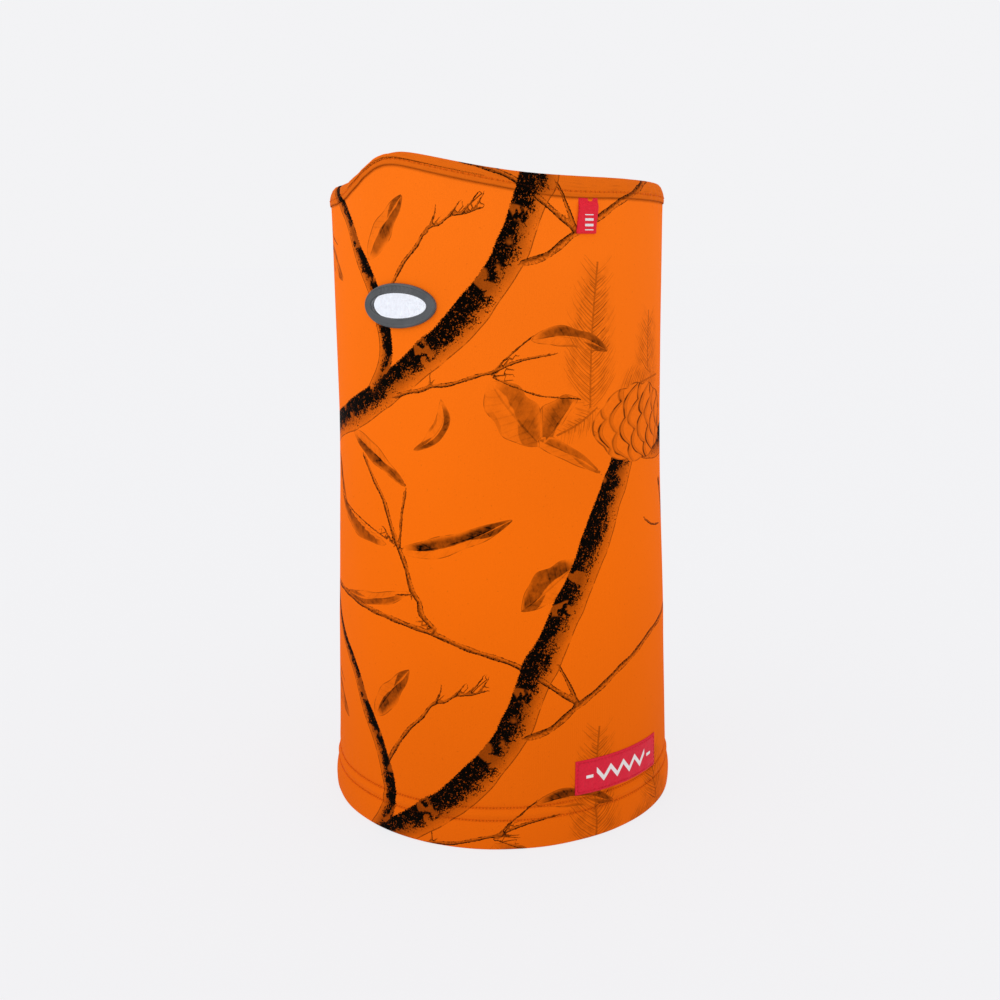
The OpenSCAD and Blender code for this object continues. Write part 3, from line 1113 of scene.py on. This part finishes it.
def stitch_rows(needle):
    """Two rows of needle stitches: short threads that dip into the cloth at both ends."""
    for name, node, row in (
        ("hem_needle_thread_upper", "hem_stitch_upper", ROW_UP),
        ("hem_needle_thread_lower", "hem_stitch_lower", ROW_LOW),
    ):
        pitch = TURN / STITCHES
        start = np.arange(STITCHES)[:, None] * pitch
        share = np.array([0.1, 0.24, 0.5, 0.76, 0.9])
        lift = np.array([-0.16, 0.12, 0.2, 0.12, -0.16]) * MM
        a = start + share * pitch
        z = np.full(a.shape, row) + 0.05 * MM * np.sin(7 * start)
        piece = threads(name, skin(a, z, lift), 0.2 * MM, needle)
        paint(piece)
        sew_on(piece, node, "needle_thread")


def hem_looper(looper):
    """Inside the hem, looper thread laces the two needle rows together."""
    a = TURN * (np.arange(STITCHES * 2)) / (STITCHES * 2)
    paths = []
    low, high = ROW_LOW - 0.2 * MM, ROW_UP + 0.2 * MM
    off = -2 * FABRIC - 0.32 * MM
    for index, at in enumerate(a):
        share = np.linspace(0, 1, 7)
        z = low + (high - low) * (share if index % 2 else 1 - share)
        turn = at + TURN / (STITCHES * 2) * (share - 0.5) * 1.6
        bow = 0.16 * MM * np.sin(math.pi * share)
        paths.append(skin(turn, z, off - bow, True))
    piece = threads("hem_looper_lacing", paths, 0.2 * MM, looper, sides=5)
    sew_on(piece, "hem_looper_thread", "looper_thread")


# ---------------------------------------------------------------- the binding

ROW_RISE = 2.45 * MM


def band_face(a, rise, out=0.0):
    """Points on the binding's outer leg at angle a, rise above the seam."""
    bulge = np.interp(rise / MM, [0, 0.5, 1.6, 2.45, 3.4, 5.0, 9.0, 12.0],
                      [0.34, 0.48, 0.55, 0.4, 0.4, 0.0, -1.8, -3.1]) * MM
    r = TUBE_R + bulge + out + ripple(a, seam_at(a)) + 0.05 * MM * np.sin(97 * a + np.sin(13 * a))
    z = seam_at(a) + rise
    return np.stack([r * np.sin(a), -r * np.cos(a), z], axis=-1)


def build_binding(cloth):
    """The folded strip that closes the top edge, as one closed band."""
    columns = 500
    a = around(columns)
    base, top = seam_at(a), edge_at(a)
    high = top - base
    wave = ripple(a, base)
    rows = [band_face(a, high * 0 + rise * MM) for rise in (0.0, 0.25, 0.6, 1.1, 1.7, 2.2, 2.45, 2.7, 3.2)]
    for share in (0.46, 0.56, 0.66, 0.76, 0.84):
        rows.append(band_face(a, high * share))
    cap = [(-1.5, 0.7), (-1.8, 0.28), (-2.2, 0.06), (-2.7, 0.0), (-3.3, 0.02), (-3.9, 0.25),
           (-4.25, 0.8), (-4.2, 1.6)]
    inner = [(-3.5, 0.6), (-3.0, 0.45), (-2.65, 0.3), (-2.62, 0.15), (-2.4, 0.02), (-1.6, 0.0),
             (-1.45, 0.03), (-2.5, 0.84)]
    tuck = [(-1.3, 0.84), (-0.2, 0.3), (0.0, 0.04)]
    for out, down in cap:
        r = TUBE_R + out * MM + wave
        rows.append(np.stack([r * np.sin(a), -r * np.cos(a), top - down * MM], axis=-1))
    for out, share in inner + tuck:
        r = TUBE_R + out * MM + wave
        rows.append(np.stack([r * np.sin(a), -r * np.cos(a), base + high * share], axis=-1))
    points, faces = lathe(rows)
    binding = new_piece("binding_band", points, faces, [cloth])
    face_outwards(binding)
    paint(binding)
    sew_on(binding, "top_binding", "binding_knit")


def binding_threads(needle, looper):
    """The needle row on the binding, the looper lacing inside it and the tack at the back."""
    count = STITCHES
    start = TURN * np.arange(count)[:, None] / count
    share = np.array([0.1, 0.25, 0.5, 0.75, 0.9])
    lift = np.array([-0.15, 0.1, 0.16, 0.1, -0.15]) * MM
    a = start + share * TURN / count
    row = threads("binding_needle_thread", band_face(a, 0 * a + ROW_RISE, lift), 0.16 * MM, needle)
    paint(row)
    sew_on(row, "binding_stitch", "needle_thread")
    paths = []
    share = np.linspace(0, 1, 5)
    for index in range(count * 2):
        rise = ROW_RISE + 1.05 * MM * (2 * share - 1) * (-1) ** index
        turn = TURN * (index + share) / (count * 2)
        r = TUBE_R - 2.95 * MM + ripple(turn, seam_at(turn))
        paths.append(np.stack([r * np.sin(turn), -r * np.cos(turn), seam_at(turn) + rise], axis=-1))
    lacing = threads("binding_looper_lacing", paths, 0.17 * MM, looper, sides=5)
    sew_on(lacing, "binding_looper_thread", "looper_thread")
    low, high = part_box("binding_back_tack")
    lines = np.linspace(low.z + 0.3 * MM, high.z - 0.3 * MM, 13)
    share = np.linspace(-1, 1, 7)
    paths = []
    for index, z in enumerate(lines):
        slant = 0.22 * MM * share * (-1) ** index
        x = (high.x - 0.2 * MM) * share
        turn = math.pi - x / TUBE_R
        rise = z + slant - seam_at(turn)
        lift = 0.14 * MM - 0.3 * MM * abs(share) ** 6
        paths.append(band_face(turn, rise, lift))
    tack = threads("binding_tack_thread", paths, 0.17 * MM, needle)
    paint(tack)
    sew_on(tack, "binding_back_tack", "needle_thread")


# ---------------------------------------------------------------- the breathing ring


def ring_ring(inset, radius, count=160):
    """A ring of points on the oval that lies inset from the ring's outside, at that radius."""
    x, z = oval(RING_A - inset, RING_B - inset, count)
    return np.stack([x, -np.sqrt(radius**2 - x**2), z], axis=1)


def ring_ridges(ring):
    """Nine short raised bars over the top of the ring, as a share of the radius."""
    x = ring[:, 0] / MM
    wave = np.cos(x * TURN / 2.1)
    on_top = (abs(x) < 8.9) * (ring[:, 2] > RING_HIGH.z - 0.004)
    part = np.clip(wave * 4 + 0.5, 0, 1) * on_top
    return part * 0.24 * MM / TUBE_R


def build_ring(material):
    """The two moulded halves that clamp the knit round the hole."""
    top = TUBE_R + RING_PROUD
    front = [  # inset from the outside and depth below the face, in millimetres
        (0.05, 1.5), (0.0, 0.9), (0.08, 0.5), (0.3, 0.2), (0.6, 0.05), (0.9, 0.02), (1.05, 0.12),
        (1.2, 0.22), (1.35, 0.24), (1.5, 0.24), (2.7, 0.22), (2.85, 0.22), (3.2, 0.24),
        (3.35, 0.13), (3.55, 0.12), (3.8, 0.2), (4.0, 0.42),
        (4.1, 0.75), (3.95, 1.2), (3.4, 1.8), (3.1, 2.9), (2.45, 2.9), (2.45, 1.55),
    ]
    rings = []
    for inset, depth in front:
        ring = ring_ring(inset * MM, top - depth * MM, RING_COLUMNS)
        if 1.3 < inset < 3.0:
            ring *= 1 + ring_ridges(ring)[:, None] * (1, 1, 0)
        rings.append(ring)
    points, faces = lathe(rings)
    piece = new_piece("breathing_ring", points, faces, [material])
    face_outwards(piece)
    crease(piece, 50)
    sew_on(piece, "breathing_ring_front", "ring_rubber")
    back = [
        (0.7, 1.5), (0.7, 1.9), (0.85, 2.2), (1.2, 2.38), (1.9, 2.42), (2.7, 2.38), (3.0, 2.2),
        (3.1, 1.9), (3.1, 1.5), (2.0, 1.48),
    ]
    rings = [ring_ring(inset * MM, TUBE_R - depth * MM) for inset, depth in back]
    points, faces = lathe(rings)
    piece = new_piece("breathing_ring_clamp", points, faces, [material])
    face_outwards(piece)
    crease(piece, 50)
    sew_on(piece, "breathing_ring_back", "ring_rubber")


# ---------------------------------------------------------------- labels


def label_frame(pivot):
    """Unit vectors across a label and outwards from the tube, at its pivot."""
    out = Vector((pivot.x, pivot.y, 0)).normalized()
    return np.array(Vector((-out.y, out.x, 0))), np.array(out)


def build_flag(material):
    """The folded flag label: a tail sewn into the seam, and a loop that flips on it."""
    pivot = pivot_of("flag_label_flip")
    across, out = label_frame(pivot)
    points = np.array([v.co for v in frame["nodes"]["flag_label"].data.vertices]) - pivot
    low = points[points[:, 2] < points[:, 2].min() + 0.5 * MM] @ across
    high = points[points[:, 2] > -1 * MM] @ across
    drop = -points[:, 2].min()
    half = (high.max() - high.min()) / 2
    lean = (low.max() + low.min()) / 2
    thick = 0.9 * MM
    angle = math.atan2(pivot.x, -pivot.y)
    tail = seam_at(angle) + 1.0 * MM - pivot.z
    down = np.concatenate([np.linspace(-tail, 0, 8), np.linspace(0, drop, 30)[1:]])
    wide = np.linspace(-1, 1, 17)
    radius = math.hypot(pivot.x, pivot.y)
    front, back, place = [], [], []
    for d in down:
        below = max(d, 0) / drop
        open_ = ease(np.array((d + 1.2 * MM) / (2.4 * MM)))
        body = 0.3 * MM + open_ * (thick - 0.3 * MM)
        tip = math.sqrt(max(0.0, 1 - max(0, (d - drop + 0.5 * MM) / (0.5 * MM)) ** 2))
        body = body * max(tip, 0.12)
        middle = (TUBE_R + 0.12 * MM - radius) * (1 - open_) + 0.12 * MM * math.sin(3 * below)
        shift = lean * ease(np.array(below)) + wide * half * (1 - 0.015 * math.sin(3.1 * below))
        pinch = 1 - 0.35 * abs(wide) ** 12
        centre = np.array(pivot) + out * middle + np.array((0, 0, -d))
        line = centre + shift[:, None] * across
        front.append(line + (out * body / 2) * pinch[:, None])
        back.append(line - (out * body / 2) * pinch[:, None])
        edge = np.minimum(half * (1 - abs(wide)), drop - d)
        place.append(np.stack([shift / MM, 0 * wide - d / MM, edge / MM], axis=1))
    front, back = np.array(front), np.array(back)
    points, faces = slab(front, back)
    flag = new_piece("flag_label_loop", points, faces, [material])
    face_outwards(flag)
    place = np.concatenate(place)
    store(flag, "label", np.concatenate([place, place]))
    crease(flag, 60)
    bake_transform(flag)
    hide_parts("flag_label", "flag_label_tail")


def label_centre(node):
    """Angle round the tube and height of a label's centre."""
    points = np.array([v.co for v in frame["nodes"][node].data.vertices])
    angle = math.atan2(points[:, 0].mean(), -points[:, 1].mean())
    return angle, (points[:, 2].max() + points[:, 2].min()) / 2


HEM_LABEL_W = 53.2 * MM
HEM_LABEL_H = 15.8 * MM
HEM_LABEL_TILT = math.radians(-1.6)


def hem_label_place(x, y):
    """Angle and height of a point x across and y up the hem label."""
    angle, height = label_centre("hem_label")
    c, s = math.cos(HEM_LABEL_TILT), math.sin(HEM_LABEL_TILT)
    r = np.interp(height, HEIGHTS, RADII)
    across, up = c * x - s * y, s * x + c * y
    return angle + np.arcsin(np.clip(across / r, -1, 1)), height + up


def build_hem_label(material, sewing):
    """The woven label above the hem, curved with the tube, with its edges turned and topstitched."""
    n, m = 27, 81
    y, x = np.meshgrid(np.linspace(-0.5, 0.5, n) * HEM_LABEL_H, np.linspace(-0.5, 0.5, m) * HEM_LABEL_W,
                       indexing="ij")
    a, z = hem_label_place(x, y)
    edge = np.minimum(HEM_LABEL_W / 2 - abs(x), HEM_LABEL_H / 2 - abs(y))
    soft = np.sqrt(np.clip(edge / (0.5 * MM), 0, 1)) * 0.3 * MM
    sewn = -0.14 * MM * np.exp(-(((edge - 1.1 * MM) / (0.5 * MM)) ** 2))
    puff = 0.05 * MM * np.sin(x / (3.1 * MM)) * np.exp(-(edge / (2.5 * MM)))
    front = skin(a, z, 0.3 * MM + soft + sewn + puff)
    back = skin(a, z, 0.06 * MM)
    points, faces = slab(front, back)
    label = new_piece("hem_label_patch", points, faces, [material])
    face_outwards(label)
    place = np.stack([x / MM, y / MM, edge / MM], axis=-1).reshape(-1, 3)
    store(label, "label", np.concatenate([place, place]))
    crease(label, 60)
    sew_on(label, "hem_label", "hem_label_weave")
    inset = 1.1 * MM
    w, h = HEM_LABEL_W / 2 - inset, HEM_LABEL_H / 2 - inset
    corners = [(-w, -h), (w, -h), (w, h), (-w, h)]
    paths = []
    for (x0, y0), (x1, y1) in zip(corners, corners[1:] + corners[:1]):
        count = round(math.hypot(x1 - x0, y1 - y0) / (2.0 * MM))
        for k in range(count):
            share = (k + np.array([0.1, 0.25, 0.5, 0.75, 0.9])) / count
            a, z = hem_label_place(x0 + (x1 - x0) * share, y0 + (y1 - y0) * share)
            lift = np.array([0.35, 0.56, 0.62, 0.56, 0.35]) * MM
            paths.append(skin(a, z, lift))
    piece = threads("hem_label_thread", paths, 0.17 * MM, sewing)
    sew_on(piece, "hem_label_stitch", "label_thread")


def build_care_label(material):
    """The satin care label inside the centre back, hanging from the seam."""
    pivot = pivot_of("care_label_flip")
    low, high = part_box("care_label")
    width, length = high.x - low.x, pivot.z - low.z
    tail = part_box("care_label_tail")[1].z - pivot.z
    down = np.concatenate([np.linspace(-tail, 0, 6), np.linspace(0, length, 30)[1:]])
    wide = np.linspace(-1, 1, 15)
    thick = 0.26 * MM
    front, back = [], []
    for d in down:
        below = max(d, 0) / length
        wave = 0.25 * MM * math.sin(5 * below) * ease(np.array(below)) - 1.3 * MM * below**3
        cup = 0.5 * MM * below * wide**2
        x = wide * width / 2
        y = pivot.y + wave - cup
        line = np.stack([x, y + 0 * x, 0 * x + pivot.z - d], axis=1)
        front.append(line - (0, thick / 2, 0))
        back.append(line + (0, thick / 2, 0))
    points, faces = slab(np.array(front), np.array(back))
    care = new_piece("care_label_ribbon", points, faces, [material])
    face_outwards(care)
    crease(care, 60)
    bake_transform(care)
    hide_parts("care_label", "care_label_tail")


# ---------------------------------------------------------------- the back seam


def build_back_seam(needle, looper):
    """The flatlock seam at the centre back: two needle rows and lacing, outside and inside."""
    foot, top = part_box("back_seam_outer")[0].z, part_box("back_seam_outer")[1].z
    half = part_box("back_seam_outer")[1].x - 0.25 * MM
    pitch = 1.7 * MM
    count = int((top - foot) / pitch)
    share = np.linspace(0, 1, 6)
    for name, node, material, slot, off, way in (
        ("back_seam_lacing", "back_seam_outer", needle, "needle_thread", 0.16 * MM, 1),
        ("back_seam_inner_lacing", "back_seam_inner", looper, "looper_thread", -FABRIC - 0.2 * MM, -1),
    ):
        paths = []
        for index in range(count * 2):
            x = half * (2 * share - 1) * (-1) ** index
            z = foot + pitch * (index / 2 + 0.5 * share)
            bow = way * 0.1 * MM * np.sin(math.pi * share)
            paths.append(skin(math.pi + x / TUBE_R, z, off + bow))
        for x in (-half, half):
            for index in range(count):
                z = foot + pitch * (index + np.linspace(0.06, 0.94, 6))
                dip = way * 0.12 * MM * np.sin(math.pi * np.linspace(0, 1, 6)) - way * 0.05 * MM
                paths.append(skin(np.full(6, math.pi + x / TUBE_R), z, off + way * 0.05 * MM + dip))
        piece = threads(name, paths, 0.17 * MM, material, sides=5)
        sew_on(piece, node, slot)


# ---------------------------------------------------------------- the floor


def build_floor():
    """A plain pale floor, partly lit from below like a light table, that meets the world's brightness."""
    p = Paint("paper", 0.9, Specular_IOR_Level=0.0, Emission_Strength=FLOOR_GLOW)
    p.shader.inputs["Emission Color"].default_value = (1, 1, 1.018, 1)
    tint = p.noise(3, 2.0)
    p.colour(p.mix(tint * 0.05, (0.1, 0.1, 0.103, 1), (0.098, 0.098, 0.1, 1)))
    size = 40.0
    points = [(-size, -size, 0), (size, -size, 0), (size, size, 0), (-size, size, 0)]
    floor = new_piece("floor", np.array(points) - (0, 0, 0.2 * MM), [(0, 1, 2, 3)], [p.material], False)


needle_thread = thread("needle_thread", rgb(222, 94, 4), rgb(242, 108, 8), 0.05, True)
looper_thread = thread("looper_thread", rgb(238, 132, 58), rgb(255, 176, 108))
label_thread = thread("label_thread", rgb(186, 16, 40), rgb(226, 40, 66), 0.1)
body_cloth = hem_cloth()
back_cloth = brushed_cloth()
grey_rubber = rubber()
flag_weave = woven("flag_weave", rgb(246, 34, 56), rgb(218, 20, 44), bars)
hem_weave = woven("hem_label_weave", rgb(234, 26, 58), rgb(200, 14, 44), ridge)

build_tube(body_cloth, back_cloth)
build_hem(body_cloth)
stitch_rows(needle_thread)
hem_looper(looper_thread)
build_binding(binding_cloth())
binding_threads(needle_thread, looper_thread)
build_ring(grey_rubber)
build_flag(flag_weave)
build_hem_label(hem_weave, label_thread)
build_care_label(satin())
build_back_seam(needle_thread, looper_thread)
build_floor()
